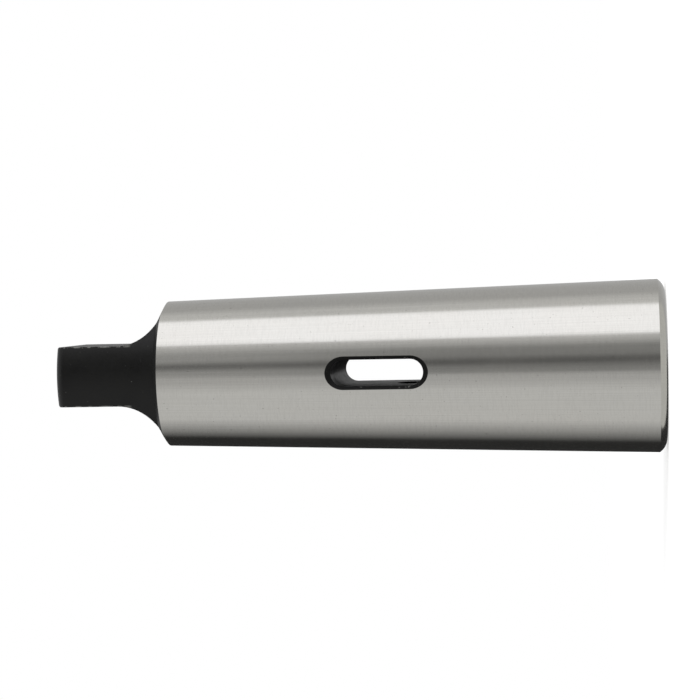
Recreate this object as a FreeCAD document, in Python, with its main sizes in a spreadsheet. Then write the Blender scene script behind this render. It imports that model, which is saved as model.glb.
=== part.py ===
"""Reducing sleeve for tapered shanks: a hardened, ground cone with a tang at its small end,
a taper socket in its large end and a drift slot through it.

Frame: millimetres. The axis is Z, the large end's face lies in the plane z = 0 with the
origin at its centre, and the tang points to +Z. The tang's flats face +X and -X. The drift
slot runs through along Y, so its side walls are parallel to the tang's flats.
"""
import FreeCAD, Part
import math
import os
import Sketcher
from FreeCAD import Placement, Rotation, Vector

NODE = "taper_sleeve"

# Driving dimensions. Lengths are in millimetres, angles in degrees, tapers on the diameter.
SIZES = {
    # outside: ground cone, rounded rim of the large end, turned tang
    "face_diameter": 44.74,
    "outer_taper": 0.05263,
    "cone_length": 129.6,
    "rim_radius": 4.5,
    "rim_depth": 1.9,
    "shoulder_step": 1.1,
    "shoulder_length": 1.0,
    "tang_length": 26.4,
    "tang_end_radius": 2.0,
    # milled flats of the tang
    "tang_thickness": 15.5,
    "tang_corner_radius": 0.9,
    "runout_radius": 11.0,
    "runout_dip": 0.4,
    "cutter_overrun": 2.0,
    # socket in the large end
    "socket_diameter": 17.78,
    "socket_taper": 0.04995,
    "socket_taper_length": 57.7,
    "bore_length": 9.3,
    "drill_point_angle": 118.0,
    "mouth_chamfer": 1.0,
    # drift slot
    "slot_width": 6.7,
    "slot_length": 23.6,
    "slot_overlap": 5.8,
    "slot_chamfer": 1.35,
    # centre hole in the tang's end
    "centre_diameter": 8.5,
    "pilot_diameter": 4.0,
    "pilot_depth": 9.5,
    "centre_angle": 60.0,
}

# Dimensions that follow from the driving ones, as expressions over the sheet.
OVERALL_LENGTH = "(Sizes.cone_length + Sizes.tang_length)"
CREASE_RADIUS = "(Sizes.face_diameter - Sizes.rim_depth * Sizes.outer_taper) / 2"
CONE_END_RADIUS = "(Sizes.face_diameter - Sizes.cone_length * Sizes.outer_taper) / 2"
TANG_RADIUS = f"({CONE_END_RADIUS} - Sizes.shoulder_step)"
SHOULDER_HEIGHT = "Sizes.cone_length + Sizes.shoulder_length"
RUNOUT_FOOT = "(Sizes.cone_length - Sizes.runout_dip)"
MOUTH_RADIUS = "Sizes.socket_diameter / 2 + Sizes.mouth_chamfer"
SEAT_RADIUS = "(Sizes.socket_diameter - Sizes.mouth_chamfer * Sizes.socket_taper) / 2"
BORE_RADIUS = "(Sizes.socket_diameter - Sizes.socket_taper_length * Sizes.socket_taper) / 2"
BORE_DEPTH = "(Sizes.socket_taper_length + Sizes.bore_length)"
DRILL_TIP = f"{BORE_DEPTH} + {BORE_RADIUS} / tan(Sizes.drill_point_angle / 2)"
SLOT_CENTRE = f"({BORE_DEPTH} - Sizes.slot_overlap + Sizes.slot_length / 2)"
SLOT_SURFACE = f"(Sizes.face_diameter - {SLOT_CENTRE} * Sizes.outer_taper) / 2"
CHAMFER_FLOOR = f"({SLOT_SURFACE} - Sizes.slot_chamfer)"
CHAMFER_SINK = "Sizes.slot_width / 4"
CHAMFER_RISE = "(Sizes.slot_chamfer + Sizes.cutter_overrun)"
CONE_TILT = "-atan(Sizes.outer_taper / 2)"
PILOT_TOP = (f"{OVERALL_LENGTH} - (Sizes.centre_diameter - Sizes.pilot_diameter) / 2"
             " / tan(Sizes.centre_angle / 2)")

# Sketcher numbers its own axes -1 and -2 and a piece's points 1 to 3. A sketch's origin is the
# start of its x axis.
X_AXIS, Y_AXIS = range(-1, -3, -1)
START, END, CENTRE = range(1, 4)
ROOT = (X_AXIS, START)


# ---------------------------------------------------------------- sheet and sketch helpers

def add_sheet(doc):
    """The spreadsheet of driving dimensions: one row each, its name and its value."""
    sheet = doc.addObject("Spreadsheet::Sheet", "Sizes")
    for row, (alias, number) in enumerate(SIZES.items(), start=1):
        sheet.set(f"A{row}", alias.replace("_", " "))
        sheet.set(f"B{row}", str(number))
        sheet.setAlias(f"B{row}", alias)
    doc.recompute()
    return sheet


def value(owner, expression):
    """The number that an expression over the sheet gives."""
    result = owner.evalExpression(expression)
    return float(getattr(result, "Value", result))


def add_sketch(body, name):
    """A sketch on the body's XZ plane: its x is the part's X, its y is the part's Z."""
    plane = next(item for item in body.Origin.OriginFeatures if item.Role == "XZ_Plane")
    sketch = body.newObject("Sketcher::SketchObject", name)
    sketch.AttachmentSupport = (plane, "")
    sketch.MapMode = "FlatFace"
    return sketch


def line(x1, y1, x2, y2):
    return Part.LineSegment(Vector(x1, y1, 0), Vector(x2, y2, 0))


def arc(x, y, radius, first_degree, last_degree):
    circle = Part.Circle(Vector(x, y, 0), Vector(0, 0, 1), radius)
    return Part.ArcOfCircle(circle, math.radians(first_degree), math.radians(last_degree))


def polygon(sketch, points):
    """A closed outline of straight lines; returns the lines' numbers."""
    first = sketch.GeometryCount
    count = len(points)
    for index, point in enumerate(points):
        sketch.addGeometry(line(*point, *points[(index + 1) % count]))
    for index in range(count):
        join(sketch, first + index, END, first + (index + 1) % count, START)
    return range(first, first + count)


def join(sketch, *ends):
    sketch.addConstraint(Sketcher.Constraint("Coincident", *ends))


def smooth(sketch, *ends):
    """Two pieces meet at these ends and are tangent there."""
    sketch.addConstraint(Sketcher.Constraint("Tangent", *ends))


def level(sketch, *pieces):
    for piece in pieces:
        sketch.addConstraint(Sketcher.Constraint("Horizontal", piece))


def upright(sketch, *pieces):
    for piece in pieces:
        sketch.addConstraint(Sketcher.Constraint("Vertical", piece))


def on_axis(sketch, piece, point):
    sketch.addConstraint(Sketcher.Constraint("PointOnObject", piece, point, Y_AXIS))


def dimension(sketch, name, expression, kind, *references):
    """A named dimension of the sketch, bound to the sheet."""
    number = value(sketch, expression)
    index = sketch.addConstraint(Sketcher.Constraint(kind, *references, number))
    sketch.renameConstraint(index, name)
    sketch.setExpression("Constraints." + name, expression)


def across(sketch, name, expression, piece, point):
    """The point's distance from the axis."""
    dimension(sketch, name, expression, "DistanceX", *ROOT, piece, point)


def height(sketch, name, expression, piece, point):
    """The point's height above the sketch's origin."""
    dimension(sketch, name, expression, "DistanceY", *ROOT, piece, point)


def finish_sketch(sketch):
    sketch.Document.recompute()
    if not sketch.FullyConstrained:
        raise RuntimeError(f"{sketch.Name} is not fully constrained")


# ---------------------------------------------------------------- feature helpers

def turn(body, kind, name, sketch):
    """A Revolution or a Groove of the sketch about the part's axis."""
    feature = body.newObject("PartDesign::" + kind, name)
    feature.Profile = (sketch, [""])
    feature.ReferenceAxis = (sketch, ["V_Axis"])
    feature.Angle = 360.0
    return feature


def cut_through(body, name, sketch):
    """A pocket through the whole part, both ways from the sketch."""
    feature = body.newObject("PartDesign::Pocket", name)
    feature.Profile = (sketch, [""])
    feature.SideType = "Symmetric"
    feature.Type = "ThroughAll"
    return feature


def mirror(body, name, original, role):
    """The same cut again, on the other side of one of the part's planes."""
    plane = next(item for item in body.Origin.OriginFeatures if item.Role == role)
    feature = body.newObject("PartDesign::Mirrored", name)
    feature.Originals = [original]
    feature.MirrorPlane = (plane, [""])
    body.Tip = feature
    return feature


def confirm_cut(body, volume_before, name):
    """Recompute and make sure that the feature has taken material away."""
    body.Document.recompute()
    volume = body.Shape.Volume
    if not volume < volume_before:
        raise RuntimeError(f"{name} cuts nothing")
    return volume


# ---------------------------------------------------------------- the sleeve's features

def blank_sketch(body):
    """Half section of the turned and ground outside, from the large end's face to the tang."""
    sketch = add_sketch(body, "BlankProfile")
    crease = value(sketch, CREASE_RADIUS)
    crease_height, rim = SIZES["rim_depth"], SIZES["rim_radius"]
    rim_turn = math.acos(1 - crease_height / rim)
    face = crease - rim * math.sin(rim_turn)
    cone_end, cone_top = value(sketch, CONE_END_RADIUS), SIZES["cone_length"]
    tang, shoulder = value(sketch, TANG_RADIUS), value(sketch, SHOULDER_HEIGHT)
    top, end_radius = value(sketch, OVERALL_LENGTH), SIZES["tang_end_radius"]

    outline = [
        line(0, 0, face, 0),
        arc(face, rim, rim, -90, math.degrees(rim_turn) - 90),
        line(crease, crease_height, cone_end, cone_top),
        line(cone_end, cone_top, tang, shoulder),
        line(tang, shoulder, tang, top - end_radius),
        arc(tang - end_radius, top - end_radius, end_radius, 0, 90),
        line(tang - end_radius, top, 0, top),
        line(0, top, 0, 0),
    ]
    face_line, rim_arc, cone, step, side, end_arc, end_line, axis = range(len(outline))
    sketch.addGeometry(outline)

    join(sketch, face_line, START, *ROOT)
    smooth(sketch, face_line, END, rim_arc, START)
    join(sketch, rim_arc, END, cone, START)
    join(sketch, cone, END, step, START)
    join(sketch, step, END, side, START)
    smooth(sketch, side, END, end_arc, START)
    smooth(sketch, end_arc, END, end_line, START)
    join(sketch, end_line, END, axis, START)
    join(sketch, axis, END, face_line, START)
    level(sketch, face_line, end_line)
    upright(sketch, side, axis)

    dimension(sketch, "rim_radius", "Sizes.rim_radius", "Radius", rim_arc)
    across(sketch, "crease_radius", CREASE_RADIUS, rim_arc, END)
    height(sketch, "rim_depth", "Sizes.rim_depth", rim_arc, END)
    across(sketch, "cone_end_radius", CONE_END_RADIUS, cone, END)
    height(sketch, "cone_length", "Sizes.cone_length", cone, END)
    across(sketch, "tang_radius", TANG_RADIUS, step, END)
    height(sketch, "shoulder_height", SHOULDER_HEIGHT, step, END)
    dimension(sketch, "tang_end_radius", "Sizes.tang_end_radius", "Radius", end_arc)
    height(sketch, "overall_length", OVERALL_LENGTH, end_line, END)
    finish_sketch(sketch)
    return sketch


def flat_sketch(body):
    """What the cutter takes off one side of the tang: a flat that leaves the end face over a
    small corner round and runs out on the cutter's own radius, a little way into the cone's end."""
    sketch = add_sketch(body, "FlatProfile")
    flat = SIZES["tang_thickness"] / 2
    corner, runout = SIZES["tang_corner_radius"], SIZES["runout_radius"]
    foot, top = value(sketch, RUNOUT_FOOT), value(sketch, OVERALL_LENGTH)
    clear_top = f"{OVERALL_LENGTH} + Sizes.cutter_overrun"
    clear_side = f"{TANG_RADIUS} + Sizes.runout_radius"
    over, side = value(sketch, clear_top), value(sketch, clear_side)

    outline = [
        line(flat - corner, top, flat - corner, over),
        line(flat - corner, over, side, over),
        line(side, over, side, foot),
        line(side, foot, flat + runout, foot),
        arc(flat + runout, foot + runout, runout, 180, 270),
        line(flat, foot + runout, flat, top - corner),
        arc(flat - corner, top - corner, corner, 0, 90),
    ]
    entry, top_line, side_line, floor, runout_arc, flat_line, corner_arc = range(len(outline))
    sketch.addGeometry(outline)

    join(sketch, entry, END, top_line, START)
    join(sketch, top_line, END, side_line, START)
    join(sketch, side_line, END, floor, START)
    smooth(sketch, floor, END, runout_arc, END)
    smooth(sketch, runout_arc, START, flat_line, START)
    smooth(sketch, flat_line, END, corner_arc, START)
    join(sketch, corner_arc, END, entry, START)
    sketch.addConstraint(Sketcher.Constraint("Vertical", corner_arc, CENTRE, entry, START))
    upright(sketch, entry, side_line, flat_line)
    level(sketch, top_line, floor)

    across(sketch, "half_thickness", "Sizes.tang_thickness / 2", flat_line, START)
    dimension(sketch, "runout_radius", "Sizes.runout_radius", "Radius", runout_arc)
    dimension(sketch, "corner_radius", "Sizes.tang_corner_radius", "Radius", corner_arc)
    height(sketch, "runout_foot", RUNOUT_FOOT, floor, END)
    height(sketch, "corner_start", f"{OVERALL_LENGTH} - Sizes.tang_corner_radius", flat_line, END)
    height(sketch, "clear_top", clear_top, entry, END)
    across(sketch, "clear_side", clear_side, side_line, START)
    finish_sketch(sketch)
    return sketch


def socket_sketch(body):
    """Half section of the socket: chamfered mouth, taper, parallel bore and drill point."""
    sketch = add_sketch(body, "SocketProfile")
    chamfer, taper_end = SIZES["mouth_chamfer"], SIZES["socket_taper_length"]
    mouth, seat = value(sketch, MOUTH_RADIUS), value(sketch, SEAT_RADIUS)
    bore, depth = value(sketch, BORE_RADIUS), value(sketch, BORE_DEPTH)
    tip = value(sketch, DRILL_TIP)
    mouth_line, lead, taper, parallel, cone, axis = polygon(sketch, [
        (0, 0), (mouth, 0), (seat, chamfer), (bore, taper_end), (bore, depth), (0, tip)])

    join(sketch, mouth_line, START, *ROOT)
    level(sketch, mouth_line)
    upright(sketch, parallel, axis)
    across(sketch, "mouth_radius", MOUTH_RADIUS, mouth_line, END)
    across(sketch, "seat_radius", SEAT_RADIUS, lead, END)
    height(sketch, "mouth_chamfer", "Sizes.mouth_chamfer", lead, END)
    across(sketch, "bore_radius", BORE_RADIUS, taper, END)
    height(sketch, "taper_length", "Sizes.socket_taper_length", taper, END)
    height(sketch, "bore_depth", BORE_DEPTH, parallel, END)
    height(sketch, "drill_tip", DRILL_TIP, cone, END)
    finish_sketch(sketch)
    return sketch


def slot_sketch(body, name, margin, level_out, tilt):
    """The drift slot's outline with full-radius ends, wider by a margin all round. The sketch
    is centred on the slot, moved out along -Y and tilted to lie along the cone."""
    sketch = add_sketch(body, name)
    sketch.AttachmentOffset = Placement(Vector(), Rotation(Vector(1, 0, 0), 1.0))
    sketch.setExpression("AttachmentOffset.Base.y", SLOT_CENTRE)
    sketch.setExpression("AttachmentOffset.Base.z", level_out)
    sketch.setExpression("AttachmentOffset.Rotation.Angle", tilt)

    width = f"(Sizes.slot_width + 2 * {margin})"
    half_run = "(Sizes.slot_length - Sizes.slot_width) / 2"
    half, run = value(sketch, width) / 2, value(sketch, half_run)
    sketch.addGeometry([
        line(half, -run, half, run),
        arc(0, run, half, 0, 180),
        line(-half, run, -half, -run),
        arc(0, -run, half, 180, 360),
    ])
    right, upper, left, lower = range(4)
    smooth(sketch, right, END, upper, START)
    smooth(sketch, upper, END, left, START)
    smooth(sketch, left, END, lower, START)
    smooth(sketch, lower, END, right, START)
    upright(sketch, right)
    on_axis(sketch, upper, CENTRE)
    on_axis(sketch, lower, CENTRE)
    dimension(sketch, "width", width, "DistanceX", left, START, right, END)
    height(sketch, "upper_centre", half_run, upper, CENTRE)
    height(sketch, "lower_centre", f"-({half_run})", lower, CENTRE)
    finish_sketch(sketch)
    return sketch


def centre_sketch(body):
    """Half section of the centre hole: a cone for the lathe centre over a drilled pilot."""
    sketch = add_sketch(body, "CentreProfile")
    pilot_bottom = f"{OVERALL_LENGTH} - Sizes.pilot_depth"
    top, rim = value(sketch, OVERALL_LENGTH), SIZES["centre_diameter"] / 2
    pilot, bottom = SIZES["pilot_diameter"] / 2, value(sketch, pilot_bottom)
    end, cone, wall, floor, axis = polygon(sketch, [
        (0, top), (rim, top), (pilot, value(sketch, PILOT_TOP)), (pilot, bottom), (0, bottom)])

    on_axis(sketch, end, START)
    level(sketch, end, floor)
    upright(sketch, wall, axis)
    across(sketch, "rim_radius", "Sizes.centre_diameter / 2", end, END)
    height(sketch, "end_height", OVERALL_LENGTH, end, END)
    across(sketch, "pilot_radius", "Sizes.pilot_diameter / 2", cone, END)
    height(sketch, "pilot_top", PILOT_TOP, cone, END)
    height(sketch, "pilot_bottom", pilot_bottom, wall, END)
    finish_sketch(sketch)
    return sketch


def add_flats(body, volume):
    """The two milled flats of the tang, the second a mirror of the first."""
    flat = cut_through(body, "FlatCut", flat_sketch(body))
    volume = confirm_cut(body, volume, "the first flat")
    mirror(body, "FlatCutOpposite", flat, "YZ_Plane")
    return confirm_cut(body, volume, "the second flat")


def add_slot(body, volume):
    """The drift slot, with a chamfer all round each of its two mouths. The chamfering tool is
    a 45 degree one: its outline grows by as much as it rises."""
    cut_through(body, "SlotCut", slot_sketch(body, "SlotProfile", "0", "0", "0"))
    volume = confirm_cut(body, volume, "the drift slot")

    floor = slot_sketch(body, "ChamferFloor", f"-({CHAMFER_SINK})",
                        f"{CHAMFER_FLOOR} - {CHAMFER_SINK}", CONE_TILT)
    mouth = slot_sketch(body, "ChamferMouth", CHAMFER_RISE,
                        f"{CHAMFER_FLOOR} + {CHAMFER_RISE}", CONE_TILT)
    chamfer = body.newObject("PartDesign::SubtractiveLoft", "SlotChamfer")
    chamfer.Profile = floor
    chamfer.Sections = [mouth]
    chamfer.Ruled = True
    volume = confirm_cut(body, volume, "the slot's first chamfer")
    mirror(body, "SlotChamferOpposite", chamfer, "XZ_Plane")
    return confirm_cut(body, volume, "the slot's second chamfer")


def build_sleeve(doc):
    body = doc.addObject("PartDesign::Body", "TaperSleeve")
    body.Label = NODE
    body.Placement = Placement()
    turn(body, "Revolution", "Blank", blank_sketch(body))
    doc.recompute()
    volume = add_flats(body, body.Shape.Volume)
    turn(body, "Groove", "Socket", socket_sketch(body))
    volume = confirm_cut(body, volume, "the socket")
    volume = add_slot(body, volume)
    turn(body, "Groove", "CentreHole", centre_sketch(body))
    confirm_cut(body, volume, "the centre hole")
    return body


def check(doc, body):
    """Nothing in the document has failed, and the body is one valid solid."""
    for item in doc.Objects:
        if {"Invalid", "Error"} & set(item.State):
            raise RuntimeError(f"{item.Label}: {item.State}")
    shape = body.Shape
    if shape.isNull() or not shape.isValid() or len(shape.Solids) != 1:
        raise RuntimeError(f"{body.Label} is not one valid solid")


def main():
    doc = FreeCAD.newDocument("taper_sleeve")
    add_sheet(doc)
    body = build_sleeve(doc)
    check(doc, body)
    os.makedirs("parts", exist_ok=True)
    body.Shape.exportStep(f"parts/{body.Label}.step")
    box = body.Shape.BoundBox
    print(f"{body.Label}: {box.XLength:.2f} x {box.YLength:.2f} x {box.ZLength:.2f} mm, "
          f"{body.Shape.Volume / 1000:.2f} cm3, {len(body.Shape.Faces)} faces")


main()
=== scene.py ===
"""Looks of the taper sleeve: a fine mesh with true surface normals, ground steel and black oxide,
a light tent around it and the camera.

The sleeve stands on its large end: the axis is Z, the tang points up, the tang's flats face +X
and -X, and the drift slot runs through along Y. The camera looks along +Y and is rolled, so that
the tang points to the left of the picture and +X is its upper side.
"""
import math

import bpy
import numpy as np
from mathutils import Matrix, Vector


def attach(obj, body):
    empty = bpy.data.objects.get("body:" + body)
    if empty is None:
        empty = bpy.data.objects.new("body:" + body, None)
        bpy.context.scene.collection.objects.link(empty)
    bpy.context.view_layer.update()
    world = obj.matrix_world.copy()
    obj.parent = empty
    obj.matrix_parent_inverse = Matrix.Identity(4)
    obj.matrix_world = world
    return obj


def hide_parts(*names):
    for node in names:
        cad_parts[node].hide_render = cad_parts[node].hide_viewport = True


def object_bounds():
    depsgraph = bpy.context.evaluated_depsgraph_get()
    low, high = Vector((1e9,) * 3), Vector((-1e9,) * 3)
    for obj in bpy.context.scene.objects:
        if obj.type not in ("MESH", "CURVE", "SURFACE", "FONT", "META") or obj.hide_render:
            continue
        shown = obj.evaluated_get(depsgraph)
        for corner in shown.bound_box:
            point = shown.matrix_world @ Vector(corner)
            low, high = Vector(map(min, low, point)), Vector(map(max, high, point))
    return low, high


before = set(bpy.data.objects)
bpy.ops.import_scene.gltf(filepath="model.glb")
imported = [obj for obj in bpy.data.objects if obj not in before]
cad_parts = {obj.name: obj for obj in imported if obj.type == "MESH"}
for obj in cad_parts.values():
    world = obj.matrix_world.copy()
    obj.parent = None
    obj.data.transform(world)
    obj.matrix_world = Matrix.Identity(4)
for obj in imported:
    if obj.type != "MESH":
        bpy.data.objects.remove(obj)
cad_low, cad_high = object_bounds()

NODE = "taper_sleeve"
MM = 0.001

# ---------------------------------------------------------------- sizes, in millimetres
LENGTH = (cad_high.z - cad_low.z) / MM
FACE_RADIUS = 22.37
HALF_TAPER = 0.05263 / 2
RIM_RADIUS, RIM_DEPTH = 4.5, 1.9
CONE_LENGTH = 129.6
SHOULDER_STEP, SHOULDER_LENGTH = 1.1, 1.0
TANG_END_RADIUS = 2.0

FLAT_HALF = 15.5 / 2
FLAT_CORNER = 0.9
RUNOUT_RADIUS, RUNOUT_DIP = 11.0, 0.4

SOCKET_RADIUS, SOCKET_HALF_TAPER = 17.78 / 2, 0.04995 / 2
MOUTH_CHAMFER = 1.0
SOCKET_LENGTH, BORE_LENGTH = 57.7, 9.3
DRILL_HALF_ANGLE = math.radians(59)

SLOT_WIDTH, SLOT_LENGTH, SLOT_OVERLAP = 6.7, 23.6, 5.8
SLOT_CHAMFER = 1.35

CENTRE_RADIUS, PILOT_RADIUS, PILOT_DEPTH = 4.25, 2.0, 9.5
CENTRE_HALF_ANGLE = math.radians(30)

CREASE_RADIUS = FACE_RADIUS - RIM_DEPTH * HALF_TAPER
CONE_END_RADIUS = FACE_RADIUS - CONE_LENGTH * HALF_TAPER
TANG_RADIUS = CONE_END_RADIUS - SHOULDER_STEP
BORE_RADIUS = SOCKET_RADIUS - SOCKET_LENGTH * SOCKET_HALF_TAPER
BORE_DEPTH = SOCKET_LENGTH + BORE_LENGTH
SLOT_CENTRE = BORE_DEPTH - SLOT_OVERLAP + SLOT_LENGTH / 2
SLOT_HALF_RUN = (SLOT_LENGTH - SLOT_WIDTH) / 2
CHAMFER_FLOOR = FACE_RADIUS - SLOT_CENTRE * HALF_TAPER - SLOT_CHAMFER
CONE_TILT = math.atan(HALF_TAPER)

# Segments of the mesh: round the axis, and in the arcs
TURN_STEPS = 360
ARC_STEPS = 16
SLOT_STEPS = 32
OVERRUN = 3.0        # how far a cutting form stands out of the sleeve

# ---------------------------------------------------------------- surfaces and their normals
# A surface is a material's number and a rule for its normal. Each face keeps its surface's number
# through the cuts, so every corner gets the form's own normal at the end.
GROUND, OXIDE, SLOT_WALL, FACED, SOCKET, BORE, CENTRE = range(7)
surfaces = []


def add_surface(material, normal):
    surfaces.append((material, normal))
    return len(surfaces) - 1


def unit(vectors):
    return vectors / np.linalg.norm(vectors, axis=1, keepdims=True)


def turned(points, out, up):
    """Normals of a turned surface: out from the axis and up along it."""
    radius = np.hypot(points[:, 0], points[:, 1]).clip(1e-9)
    return unit(np.stack([points[:, 0] / radius * out, points[:, 1] / radius * out,
                          np.ones(len(points)) * up], 1))


def turned_line(start, end):
    out, up = end[1] - start[1], start[0] - end[0]
    return lambda points: turned(points, out, up)


def turned_arc(centre, sign=1):
    def normal(points):
        radius = np.hypot(points[:, 0], points[:, 1])
        return turned(points, (radius - centre[0]) * sign, (points[:, 2] - centre[1]) * sign)
    return normal


def milled(points, out, up):
    """Normals of a surface milled along Y, the same on the sleeve's two sides."""
    side = np.sign(points[:, 0])
    return unit(np.stack([side * out, np.zeros(len(points)), np.ones(len(points)) * up], 1))


def milled_line(start, end):
    out, up = end[1] - start[1], start[0] - end[0]
    return lambda points: milled(points, out, up)


def milled_arc(centre, sign=1):
    def normal(points):
        return milled(points, (np.abs(points[:, 0]) - centre[0]) * sign,
                      (points[:, 2] - centre[1]) * sign)
    return normal


def chamfer_normal(side):
    """Normals of the 45 degree chamfer round a mouth of the slot; side is -1 or 1 along Y."""
    out = np.array([0, side * math.cos(CONE_TILT), math.sin(CONE_TILT)])
    along = np.array([0, -side * math.sin(CONE_TILT), math.cos(CONE_TILT)])

    def normal(points):
        run = (points[:, 2] - SLOT_CENTRE) / math.cos(CONE_TILT)
        past = run - run.clip(-SLOT_HALF_RUN, SLOT_HALF_RUN)
        spread = unit(np.outer(points[:, 0], [1, 0, 0]) + np.outer(past, along))
        return unit(out - spread)
    return normal


# ---------------------------------------------------------------- outlines
def arc_points(centre, radius, first, last, steps):
    return [(centre[0] + radius * math.cos(math.radians(first + (last - first) * i / steps)),
             centre[1] + radius * math.sin(math.radians(first + (last - first) * i / steps)))
            for i in range(steps + 1)]


def line_strip(start, end, material, kind):
    return [start, end], add_surface(material, kind(start, end))


def arc_strip(centre, radius, first, last, material, kind, sign=1):
    points = arc_points(centre, radius, first, last, ARC_STEPS)
    return points, add_surface(material, kind(centre, sign))


def sleeve_strips():
    """Half section of the sleeve, from the drill point round the outside to the pilot hole."""
    rim_turn = math.degrees(math.acos(1 - RIM_DEPTH / RIM_RADIUS))
    face = CREASE_RADIUS - RIM_RADIUS * math.sin(math.radians(rim_turn))
    seat = SOCKET_RADIUS - MOUTH_CHAMFER * SOCKET_HALF_TAPER
    tip = (0, BORE_DEPTH + BORE_RADIUS / math.tan(DRILL_HALF_ANGLE))
    pilot_top = LENGTH - (CENTRE_RADIUS - PILOT_RADIUS) / math.tan(CENTRE_HALF_ANGLE)
    pilot_bottom = LENGTH - PILOT_DEPTH
    shoulder = CONE_LENGTH + SHOULDER_LENGTH
    inside = [(tip, BORE), ((BORE_RADIUS, BORE_DEPTH), BORE),
              ((BORE_RADIUS, SOCKET_LENGTH), SOCKET), ((seat, MOUTH_CHAMFER), SOCKET),
              ((SOCKET_RADIUS + MOUTH_CHAMFER, 0), FACED), ((face, 0), None)]
    outside = [((CREASE_RADIUS, RIM_DEPTH), GROUND), ((CONE_END_RADIUS, CONE_LENGTH), OXIDE),
               ((TANG_RADIUS, shoulder), OXIDE), ((TANG_RADIUS, LENGTH - TANG_END_RADIUS), None)]
    top = [((TANG_RADIUS - TANG_END_RADIUS, LENGTH), OXIDE), ((CENTRE_RADIUS, LENGTH), CENTRE),
           ((PILOT_RADIUS, pilot_top), CENTRE), ((PILOT_RADIUS, pilot_bottom), CENTRE),
           ((0, pilot_bottom), None)]
    rim = arc_strip((face, RIM_RADIUS), RIM_RADIUS, -90, rim_turn - 90, GROUND, turned_arc)
    end = arc_strip((TANG_RADIUS - TANG_END_RADIUS, LENGTH - TANG_END_RADIUS), TANG_END_RADIUS,
                    0, 90, OXIDE, turned_arc)
    return [*line_strips(inside), rim, *line_strips(outside), end, *line_strips(top)]


def line_strips(corners):
    return [line_strip(start, end, material, turned_line)
            for (start, material), (end, _) in zip(corners, corners[1:])]


# ---------------------------------------------------------------- meshes
def new_mesh(name, vertices, faces, numbers):
    mesh = bpy.data.meshes.new(name)
    mesh.from_pydata([Vector(v) * MM for v in vertices], [], faces)
    mesh.attributes.new("surface", "INT", "FACE").data.foreach_set("value", numbers)
    mesh.update()
    piece = bpy.data.objects.new(name, mesh)
    bpy.context.scene.collection.objects.link(piece)
    return piece


def ring(radius, steps):
    """Points round the axis, the first on +X."""
    turns = [math.tau * i / steps for i in range(steps)]
    return [(radius * math.cos(turn), radius * math.sin(turn)) for turn in turns]


def revolve(name, strips):
    """A closed turned solid from a half section that starts and ends on the axis."""
    rings, numbers = [strips[0][0][0]], []
    for points, number in strips:
        rings += points[1:]
        numbers += [number] * (len(points) - 1)
    vertices, rows = [], []
    for radius, height in rings:
        steps = TURN_STEPS if radius > 0 else 1
        rows.append(range(len(vertices), len(vertices) + steps))
        vertices += [(x, y, height) for x, y in ring(radius, steps)]
    faces, face_numbers = [], []
    for lower, upper, number in zip(rows, rows[1:], numbers):
        for i in range(TURN_STEPS):
            j = (i + 1) % TURN_STEPS
            corners = [lower[i % len(lower)], lower[j % len(lower)],
                       upper[j % len(upper)], upper[i % len(upper)]]
            faces.append(list(dict.fromkeys(corners)))
            face_numbers.append(number)
    return new_mesh(name, vertices, faces, face_numbers)


def loft(name, sections, numbers, cap_number):
    """A closed solid through sections of equal point count; numbers are its sides' surfaces."""
    count = len(sections[0])
    vertices = [point for section in sections for point in section]
    faces, face_numbers = [], []
    for row in range(len(sections) - 1):
        low, high = row * count, (row + 1) * count
        for i in range(count):
            j = (i + 1) % count
            faces.append([low + i, low + j, high + j, high + i])
            face_numbers.append(numbers[i])
    last = (len(sections) - 1) * count
    faces += [list(range(count))[::-1], list(range(last, last + count))]
    face_numbers += [cap_number] * 2
    return new_mesh(name, vertices, faces, face_numbers)


def outline(strips):
    """The strips' points as one closed loop, and the surface's number of each side."""
    points, numbers = [], []
    for strip, number in strips:
        points += strip[:-1]
        numbers += [number] * (len(strip) - 1)
    return points, numbers


def flat_cutter(side):
    """What the milling cutter takes off one side of the tang."""
    foot, far = CONE_LENGTH - RUNOUT_DIP, CONE_END_RADIUS + OVERRUN
    over, corner_height = LENGTH + OVERRUN, LENGTH - FLAT_CORNER
    centre = (FLAT_HALF + RUNOUT_RADIUS, foot + RUNOUT_RADIUS)
    floor_end = max(far, centre[0] + OVERRUN)
    runout = arc_strip(centre, RUNOUT_RADIUS, 270, 180, OXIDE, milled_arc, -1)
    corner = arc_strip((FLAT_HALF - FLAT_CORNER, corner_height), FLAT_CORNER, 0, 90,
                       OXIDE, milled_arc)
    flat = line_strip((FLAT_HALF, centre[1]), (FLAT_HALF, corner_height), OXIDE, milled_line)
    box = [(FLAT_HALF - FLAT_CORNER, LENGTH), (FLAT_HALF - FLAT_CORNER, over), (floor_end, over),
           (floor_end, foot), (centre[0], foot)]
    rest = [line_strip(a, b, OXIDE, milled_line) for a, b in zip(box, box[1:])]
    points, numbers = outline([runout, flat, corner, *rest])
    reach = CONE_END_RADIUS + OVERRUN
    sections = [[(side * x, side * y, z) for x, z in points] for y in (-reach, reach)]
    return loft(f"flat_{side}", sections, numbers, numbers[-1])


def stadium(half_width):
    """The slot's outline, half round at both ends, with the height from the slot's centre."""
    upper = arc_points((0, SLOT_HALF_RUN), half_width, 0, 180, SLOT_STEPS)
    lower = arc_points((0, -SLOT_HALF_RUN), half_width, 180, 360, SLOT_STEPS)
    return upper + lower


def slot_wall_normal(points):
    run = points[:, 2] - SLOT_CENTRE
    past = run - run.clip(-SLOT_HALF_RUN, SLOT_HALF_RUN)
    return unit(np.stack([-points[:, 0], np.zeros(len(points)), -past], 1))


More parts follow.
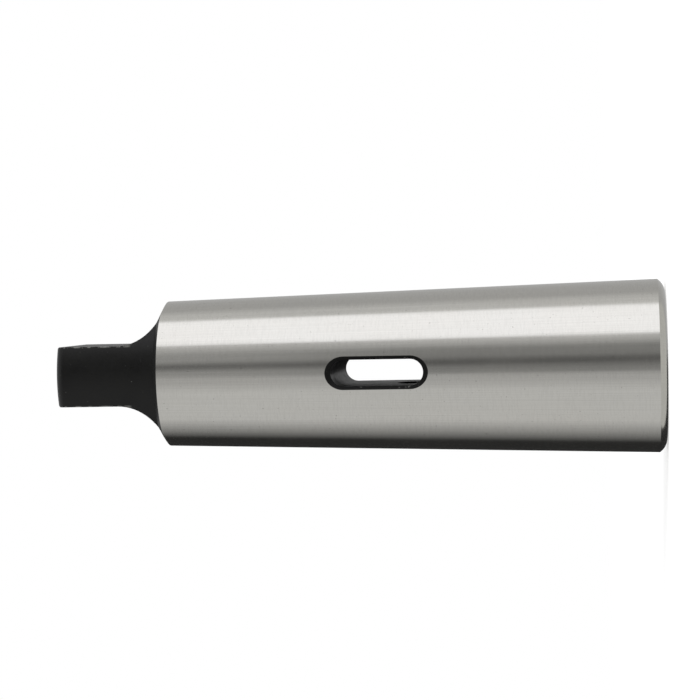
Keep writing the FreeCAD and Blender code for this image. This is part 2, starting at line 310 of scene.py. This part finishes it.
def slot_cutter():
    wall = add_surface(SLOT_WALL, slot_wall_normal)
    reach = FACE_RADIUS + OVERRUN
    sections = [[(x, y, SLOT_CENTRE + z) for x, z in stadium(SLOT_WIDTH / 2)]
                for y in (reach, -reach)]
    return loft("slot", sections, [wall] * len(sections[0]), wall)


def chamfer_cutter(side):
    """The flared form that chamfers one mouth: it grows by as much as it rises."""
    mouth = add_surface(SLOT_WALL, chamfer_normal(side))
    sections = []
    for rise in (-SLOT_WIDTH / 4, SLOT_CHAMFER + OVERRUN):
        level = CHAMFER_FLOOR + rise
        sections.append([(-side * x, side * (level - z * math.sin(CONE_TILT)),
                          SLOT_CENTRE + z * math.cos(CONE_TILT))
                         for x, z in stadium(SLOT_WIDTH / 2 + rise)])
    return loft(f"chamfer_{side}", sections, [mouth] * len(sections[0]), mouth)


def cut(piece, cutter):
    """Takes the cutter's form away from the piece."""
    modifier = piece.modifiers.new("cut", "BOOLEAN")
    modifier.object, modifier.operation, modifier.solver = cutter, "DIFFERENCE", "EXACT"
    bpy.context.view_layer.update()
    shown = piece.evaluated_get(bpy.context.evaluated_depsgraph_get())
    mesh = bpy.data.meshes.new_from_object(shown)
    piece.modifiers.clear()
    piece.data = mesh
    bpy.data.objects.remove(cutter)


def finish_normals(piece):
    """Gives every face its material and every corner its surface's own normal."""
    mesh = piece.data
    numbers = np.zeros(len(mesh.polygons), int)
    mesh.attributes["surface"].data.foreach_get("value", numbers)
    counts = np.zeros(len(mesh.polygons), int)
    mesh.polygons.foreach_get("loop_total", counts)
    corner_vertices = np.zeros(len(mesh.loops), int)
    mesh.loops.foreach_get("vertex_index", corner_vertices)
    places = np.zeros(len(mesh.vertices) * 3)
    mesh.vertices.foreach_get("co", places)
    corners = places.reshape(-1, 3)[corner_vertices] / MM
    corner_numbers = np.repeat(numbers, counts)
    normals = np.zeros_like(corners)
    for number, (_, normal) in enumerate(surfaces):
        chosen = corner_numbers == number
        if chosen.any():
            normals[chosen] = normal(corners[chosen])
    mesh.polygons.foreach_set("material_index", [surfaces[n][0] for n in numbers])
    mesh.polygons.foreach_set("use_smooth", [True] * len(mesh.polygons))
    mesh.normals_split_custom_set([tuple(n) for n in normals])
    mesh.update()


def build_sleeve():
    piece = revolve("ground_taper_sleeve", sleeve_strips())
    cut(piece, flat_cutter(1))
    cut(piece, flat_cutter(-1))
    cut(piece, slot_cutter())
    cut(piece, chamfer_cutter(-1))
    cut(piece, chamfer_cutter(1))
    finish_normals(piece)
    return piece


# ---------------------------------------------------------------- shader helper
class Shader:
    """A node tree with a short call for each kind of node."""

    def __init__(self, tree):
        self.tree = tree
        tree.nodes.clear()

    def node(self, kind, inputs=None, **settings):
        made = self.tree.nodes.new("ShaderNode" + kind)
        for name, setting in settings.items():
            setattr(made, name, setting)
        for name, source in (inputs or {}).items():
            self.feed(made.inputs[name], source)
        return made

    def feed(self, socket, source):
        if isinstance(source, bpy.types.NodeSocket):
            self.tree.links.new(source, socket)
        else:
            socket.default_value = source

    def math(self, operation, *sources, clamp=False):
        made = self.node("Math", operation=operation, use_clamp=clamp)
        for socket, source in zip(made.inputs, sources):
            self.feed(socket, source)
        return made.outputs[0]

    def combine(self, x, y, z):
        return self.node("CombineXYZ", {"X": x, "Y": y, "Z": z}).outputs[0]

    def noise(self, vector, scale, detail=2.0, roughness=0.5):
        return self.node("TexNoise", {"Vector": vector, "Scale": scale, "Detail": detail,
                                      "Roughness": roughness}).outputs[0]

    def fade(self, source, low, high, to_low=0.0, to_high=1.0):
        """Smoothly from one value to another as the source goes from low to high."""
        return self.node("MapRange", {"Value": source, "From Min": low, "From Max": high,
                                      "To Min": to_low, "To Max": to_high},
                         interpolation_type="SMOOTHSTEP").outputs[0]

    def blend(self, share, first, second):
        made = self.node("Mix", data_type="RGBA")
        self.feed(made.inputs[0], share)
        self.feed(made.inputs[6], first)
        self.feed(made.inputs[7], second)
        return made.outputs[2]

    def surface(self, shader):
        self.node("OutputMaterial", {"Surface": shader})


def new_material(name):
    material = bpy.data.materials.new(name)
    material.use_nodes = True
    return material, Shader(material.node_tree)


def place(shader):
    """The point's place in metres and its direction from the axis: x, y, z, radius."""
    coordinate = shader.node("TexCoord").outputs["Object"]
    parts = shader.node("SeparateXYZ", {"Vector": coordinate}).outputs
    radius = shader.math("SQRT", shader.math("ADD", shader.math("MULTIPLY", parts[0], parts[0]),
                                             shader.math("MULTIPLY", parts[1], parts[1])))
    return parts[0], parts[1], parts[2], radius


def wrapped(shader, round_scale, along_scale):
    """A texture vector that runs round the axis without a seam, and along it, per metre."""
    x, y, z, radius = place(shader)
    scale = shader.math("DIVIDE", round_scale, radius)
    return shader.combine(shader.math("MULTIPLY", x, scale), shader.math("MULTIPLY", y, scale),
                          shader.math("MULTIPLY", z, along_scale))


# ---------------------------------------------------------------- materials
STEEL = (0.62, 0.615, 0.585, 1)
STEEL_WARM = (0.63, 0.615, 0.57, 1)
STEEL_LINE = (0.50, 0.49, 0.46, 1)
STEEL_PIT = (0.20, 0.19, 0.17, 1)
OXIDE_DARK, OXIDE_PALE = (0.003, 0.003, 0.003, 1), (0.008, 0.008, 0.0075, 1)
WORN_OXIDE = (0.16, 0.16, 0.15, 1)
# How strongly the lengthwise lines, the grinding grooves and the pits show in the steel's colour
LINE_SHARE, GROOVE_SHARE, PIT_SHARE = 0.55, 0.22, 0.5
STREAK_BUMP = 0.6                   # height of the lengthwise streaks beside that of the rings
STEEL_BUMP, OXIDE_BUMP = 0.00002, 0.00004       # depth of the fine relief, in metres
OXIDE_GRAIN = 0.15


def steel_colour(shader, clouds):
    """Pale steel in soft clouds, with lengthwise lines, grinding grooves and fine pits."""
    lines = shader.noise(wrapped(shader, 420.0, 22.0), 1.0, 3.0, 0.6)
    grooves = shader.noise(wrapped(shader, 8.0, 2400.0), 1.0, 2.0, 0.6)
    pits = shader.noise(shader.node("TexCoord").outputs["Object"], 1500.0, 2.0, 0.5)
    colour = shader.blend(clouds, STEEL, STEEL_WARM)
    colour = shader.blend(shader.fade(lines, 0.40, 0.70, 0.0, LINE_SHARE), colour, STEEL_LINE)
    colour = shader.blend(shader.fade(grooves, 0.40, 0.70, 0.0, GROOVE_SHARE), colour, STEEL_LINE)
    return shader.blend(shader.fade(pits, 0.69, 0.79, 0.0, PIT_SHARE), colour, STEEL_PIT)


def ground_steel(name, roughness, grit):
    """Ground metal with fine rings round the axis; grit is the strength of its relief."""
    material, shader = new_material(name)
    rings = shader.noise(wrapped(shader, 1.2, 5200.0), 1.0, 3.0, 0.6)
    streaks = shader.noise(wrapped(shader, 60.0, 6.0), 1.0, 2.0, 0.5)
    clouds = shader.noise(wrapped(shader, 2.0, 40.0), 1.0, 3.0, 0.5)
    rough = shader.math("ADD", shader.fade(rings, 0.3, 0.7, roughness - 0.02, roughness + 0.03),
                        shader.fade(clouds, 0.35, 0.7, -0.01, 0.02))
    height = shader.math("ADD", rings, shader.math("MULTIPLY", streaks, STREAK_BUMP))
    bump = shader.node("Bump", {"Height": height, "Strength": grit, "Distance": STEEL_BUMP})
    tangent = shader.node("Tangent", direction_type="RADIAL", axis="Z")
    steel = shader.node("BsdfPrincipled", {
        "Base Color": steel_colour(shader, clouds), "Metallic": 1.0, "Roughness": rough,
        "Anisotropic": 0.2, "Anisotropic Rotation": 0.25, "Normal": bump.outputs[0],
        "Tangent": tangent.outputs[0]})
    shader.surface(steel.outputs[0])
    return material


def rising(shader, source, start, run):
    """From 0 to 1 over a run of millimetres past the start."""
    return shader.fade(source, start * MM, (start + run) * MM)


def worn_edges(shader):
    """Where handling has worn the oxide: patches along the edges of the tang's flats."""
    x, y, z, radius = place(shader)
    beside = rising(shader, shader.math("ABSOLUTE", x), FLAT_HALF - 0.4, 0.3)
    outside = rising(shader, radius, TANG_RADIUS - 0.5, 0.3)
    on_tang = rising(shader, z, CONE_LENGTH + 6, 3)
    patches = shader.fade(shader.noise(shader.combine(y, z, 0.0), 500.0, 4.0, 0.7), 0.46, 0.56)
    edge = shader.math("MULTIPLY", shader.math("MULTIPLY", beside, outside), on_tang)
    return shader.math("MULTIPLY", edge, patches)


def black_oxide(name, roughness, shine, wear):
    """Black oxide with worn specks, which are fewer the nearer wear is to 1."""
    material, shader = new_material(name)
    coordinate = shader.node("TexCoord").outputs["Object"]
    grain = shader.noise(coordinate, 900.0, 3.0, 0.6)
    clouds = shader.noise(coordinate, 120.0, 3.0, 0.55)
    worn = shader.noise(coordinate, 700.0, 4.0, 0.7)
    colour = shader.blend(clouds, OXIDE_DARK, OXIDE_PALE)
    colour = shader.blend(shader.fade(worn, wear, wear + 0.04), colour, WORN_OXIDE)
    colour = shader.blend(worn_edges(shader), colour, WORN_OXIDE)
    rough = shader.math("ADD", shader.fade(grain, 0.3, 0.7, roughness - 0.04, roughness + 0.06),
                        shader.fade(clouds, 0.3, 0.7, -0.03, 0.04))
    bump = shader.node("Bump", {"Height": grain, "Strength": OXIDE_GRAIN, "Distance": OXIDE_BUMP})
    oxide = shader.node("BsdfPrincipled", {
        "Base Color": colour, "Metallic": 0.0, "Roughness": rough, "Specular IOR Level": shine,
        "Normal": bump.outputs[0]})
    shader.surface(oxide.outputs[0])
    return material


def add_finishes(piece):
    """The materials in the order of the surfaces' numbers: roughness and grit of what is ground,
    roughness, shine and wear of what is black."""
    finishes = (
        ground_steel("ground_cone", 0.15, 0.08),
        black_oxide("black_oxide", 0.34, 0.22, 0.68),
        black_oxide("slot_oxide", 0.40, 0.15, 0.66),
        ground_steel("faced_end", 0.25, 0.3),
        ground_steel("socket_bore_ground", 0.2, 0.2),
        black_oxide("drilled_bore", 0.5, 0.3, 0.7),
        ground_steel("centre_hole", 0.3, 0.3),
    )
    for finish in finishes:
        piece.data.materials.append(finish)


# ---------------------------------------------------------------- light and stage
# The cards that the metal reflects: from and to, in degrees from the camera's direction towards
# +X, and the level. From one card to the next the level changes evenly.
CARDS = (
    (-180, -120, 0.03),     # black cloth
    (-75, -28, 0.70),       # fill card
    (-15, -7, 0.55),        # pale edge beside the camera
    (-3, 3, 0.40),          # the camera
    (11, 12, 0.15),         # dark slit beside it
    (20, 30, 0.40),         # dim wall
    (40, 45, 0.60),         # the softbox's frame
    (46, 90, 1.40),         # softbox
    (93, 105, 0.70),        # wall that the softbox lights
    (118, 179.9, 0.50),     # grey wall
)
NEAR_CAMERA = (-5, 35)      # cards that start between these angles are dimmer low down,
LOW_SHADE = 0.7             # by this factor
TENT_HIGH, TENT_LOW = 0.40, 0.26    # heights in metres between which the two levels blend
TENT_BOTTOM, TENT_BOTTOM_EDGE = (0.62, 0.62, 0.60, 1), 0.001
SOFTBOX_BLUE = 1.035                # the softbox is a little cooler than the cards
TENT_RADIUS, TENT_HEIGHT, TENT_STEPS = 1.5, 1.4, 144
FLOOR_SIZE = 12.0
FLOOR_DROP = 0.0001                 # keeps the floor clear of the large end's face
FLOOR_PAINT, FLOOR_GLOW = (0.8, 0.8, 0.8, 1), 0.4
WORLD_LEVEL = 0.75                  # for the light that falls on things; shown rays see 1
WHITE = (1, 1, 1, 1)
LAMP_PLACE, LAMP_AIM, LAMP_SIZE, LAMP_POWER = (0.9, -0.9, 0.9), (0, 0, 0.08), 0.8, 10.0


def tent_ramp(shader, share, shade):
    """The cards as one colour ramp, with a shade on those near the camera."""
    ramp = shader.node("ValToRGB", {"Fac": share})
    stops = ramp.color_ramp.elements
    levels = []
    for start, end, level in CARDS:
        shown = level * shade if NEAR_CAMERA[0] < start < NEAR_CAMERA[1] else level
        levels += [(start, shown), (end, shown)]
    while len(stops) < len(levels):
        stops.new(0.5)
    for stop, (degrees, level) in zip(stops, levels):
        stop.position = degrees / 360 + 0.5
        cool = SOFTBOX_BLUE if level > 1 else 1
        stop.color = (level, level, level * cool, 1)
    return ramp.outputs[0]


def light_tent():
    """A round wall of cards with a grey bottom, which shows in reflections alone."""
    steps = TENT_STEPS
    vertices = [(x, y, z) for z in (-TENT_HEIGHT, TENT_HEIGHT) for x, y in ring(TENT_RADIUS, steps)]
    faces = [[i, (i + 1) % steps, steps + (i + 1) % steps, steps + i] for i in range(steps)]
    faces.append(list(range(steps)))        # the bottom, which the rim reflects
    mesh = bpy.data.meshes.new("light_tent")
    mesh.from_pydata(vertices, [], faces)
    tent = bpy.data.objects.new("light_tent", mesh)
    bpy.context.scene.collection.objects.link(tent)
    material, shader = new_material("tent_cards")
    x, y, z = place(shader)[:3]
    angle = shader.math("ARCTAN2", x, shader.math("MULTIPLY", y, -1.0))
    share = shader.math("ADD", shader.math("DIVIDE", angle, math.tau), 0.5)
    high = tent_ramp(shader, share, 1.0)
    low = tent_ramp(shader, share, LOW_SHADE)
    colour = shader.blend(shader.fade(z, TENT_LOW, TENT_HIGH), low, high)
    below = shader.math("LESS_THAN", z, TENT_BOTTOM_EDGE - TENT_HEIGHT)
    colour = shader.blend(below, colour, TENT_BOTTOM)
    shader.surface(shader.node("Emission", {"Color": colour}).outputs[0])
    material.cycles.emission_sampling = "NONE"
    mesh.materials.append(material)
    tent.visible_camera = tent.visible_diffuse = tent.visible_shadow = False
    tent.visible_transmission = tent.visible_volume_scatter = False
    return tent


def shown_rays(shader):
    """1 for camera, glossy and transmission rays."""
    rays = shader.node("LightPath").outputs
    seen = shader.math("MAXIMUM", rays["Is Camera Ray"], rays["Is Glossy Ray"])
    return shader.math("MAXIMUM", seen, rays["Is Transmission Ray"])


def pale_floor():
    """A white floor that keeps the shadow; it is clear from below, so the socket can be seen."""
    mesh = bpy.data.meshes.new("floor")
    half = FLOOR_SIZE / 2
    height = cad_low.z - FLOOR_DROP
    mesh.from_pydata([(x, y, height) for x, y in ((-half, -half), (half, -half), (half, half),
                                                  (-half, half))], [], [[0, 1, 2, 3]])
    floor = bpy.data.objects.new("floor", mesh)
    bpy.context.scene.collection.objects.link(floor)
    material, shader = new_material("pale_floor")
    paint = shader.node("BsdfDiffuse", {"Color": FLOOR_PAINT})
    strength = shader.math("MULTIPLY", shown_rays(shader), FLOOR_GLOW)
    glow = shader.node("Emission", {"Color": WHITE, "Strength": strength})
    both = shader.node("AddShader")
    shader.feed(both.inputs[0], paint.outputs[0])
    shader.feed(both.inputs[1], glow.outputs[0])
    below = shader.node("NewGeometry").outputs["Backfacing"]
    clear = shader.node("BsdfTransparent")
    choice = shader.node("MixShader", {"Fac": below})
    shader.feed(choice.inputs[1], both.outputs[0])
    shader.feed(choice.inputs[2], clear.outputs[0])
    shader.surface(choice.outputs[0])
    mesh.materials.append(material)
    floor.visible_glossy = False        # the metal reflects the tent's lower half instead
    return floor


def studio_world():
    """White all round for shown rays."""
    world = bpy.data.worlds.new("studio")
    world.use_nodes = True
    shader = Shader(world.node_tree)
    rise = shader.math("MULTIPLY", shown_rays(shader), 1 - WORLD_LEVEL)
    level = shader.math("ADD", WORLD_LEVEL, rise)
    light = shader.node("Background", {"Color": WHITE, "Strength": level})
    shader.node("OutputWorld", {"Surface": light.outputs[0]})
    bpy.context.scene.world = world


def add_lamp(name, place_at, aim, size, power):
    """A square lamp that lights things without showing in the metal."""
    lamp = bpy.data.lights.new(name, "AREA")
    lamp.shape, lamp.size, lamp.energy = "SQUARE", size, power
    made = bpy.data.objects.new(name, lamp)
    made.location = place_at
    made.rotation_euler = (Vector(aim) - Vector(place_at)).to_track_quat("-Z", "Y").to_euler()
    made.visible_glossy = made.visible_camera = False
    bpy.context.scene.collection.objects.link(made)
    return made


# ---------------------------------------------------------------- camera
CAMERA_PLACE = Vector((20.23, -606.32, 16.46)) * MM
CAMERA_TARGET = Vector((5.37, 0, 81.66)) * MM
CAMERA_LENS = 120.21
CAMERA_ROLL = math.radians(-1.161)    # of the picture's upward direction, from +X towards +Z


def add_camera():
    """A long lens from the side, rolled so that the tang points to the left of the picture."""
    data = bpy.data.cameras.new("camera")
    data.lens, data.sensor_width = CAMERA_LENS, 36
    data.clip_start, data.clip_end = 0.01, 100
    camera = bpy.data.objects.new("camera", data)
    forward = (CAMERA_TARGET - CAMERA_PLACE).normalized()
    right = forward.cross(Vector((math.cos(CAMERA_ROLL), 0, math.sin(CAMERA_ROLL)))).normalized()
    up = right.cross(forward)
    turn = Matrix((right, up, -forward)).transposed().to_4x4()
    camera.matrix_world = Matrix.Translation(CAMERA_PLACE) @ turn
    bpy.context.scene.collection.objects.link(camera)
    bpy.context.scene.camera = camera


# ---------------------------------------------------------------- the scene
sleeve = build_sleeve()
add_finishes(sleeve)
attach(sleeve, "root")
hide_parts(NODE)

pale_floor()
light_tent()
studio_world()
add_lamp("key", LAMP_PLACE, LAMP_AIM, LAMP_SIZE, LAMP_POWER)
add_camera()

scene = bpy.context.scene
scene.view_settings.view_transform = "Standard"
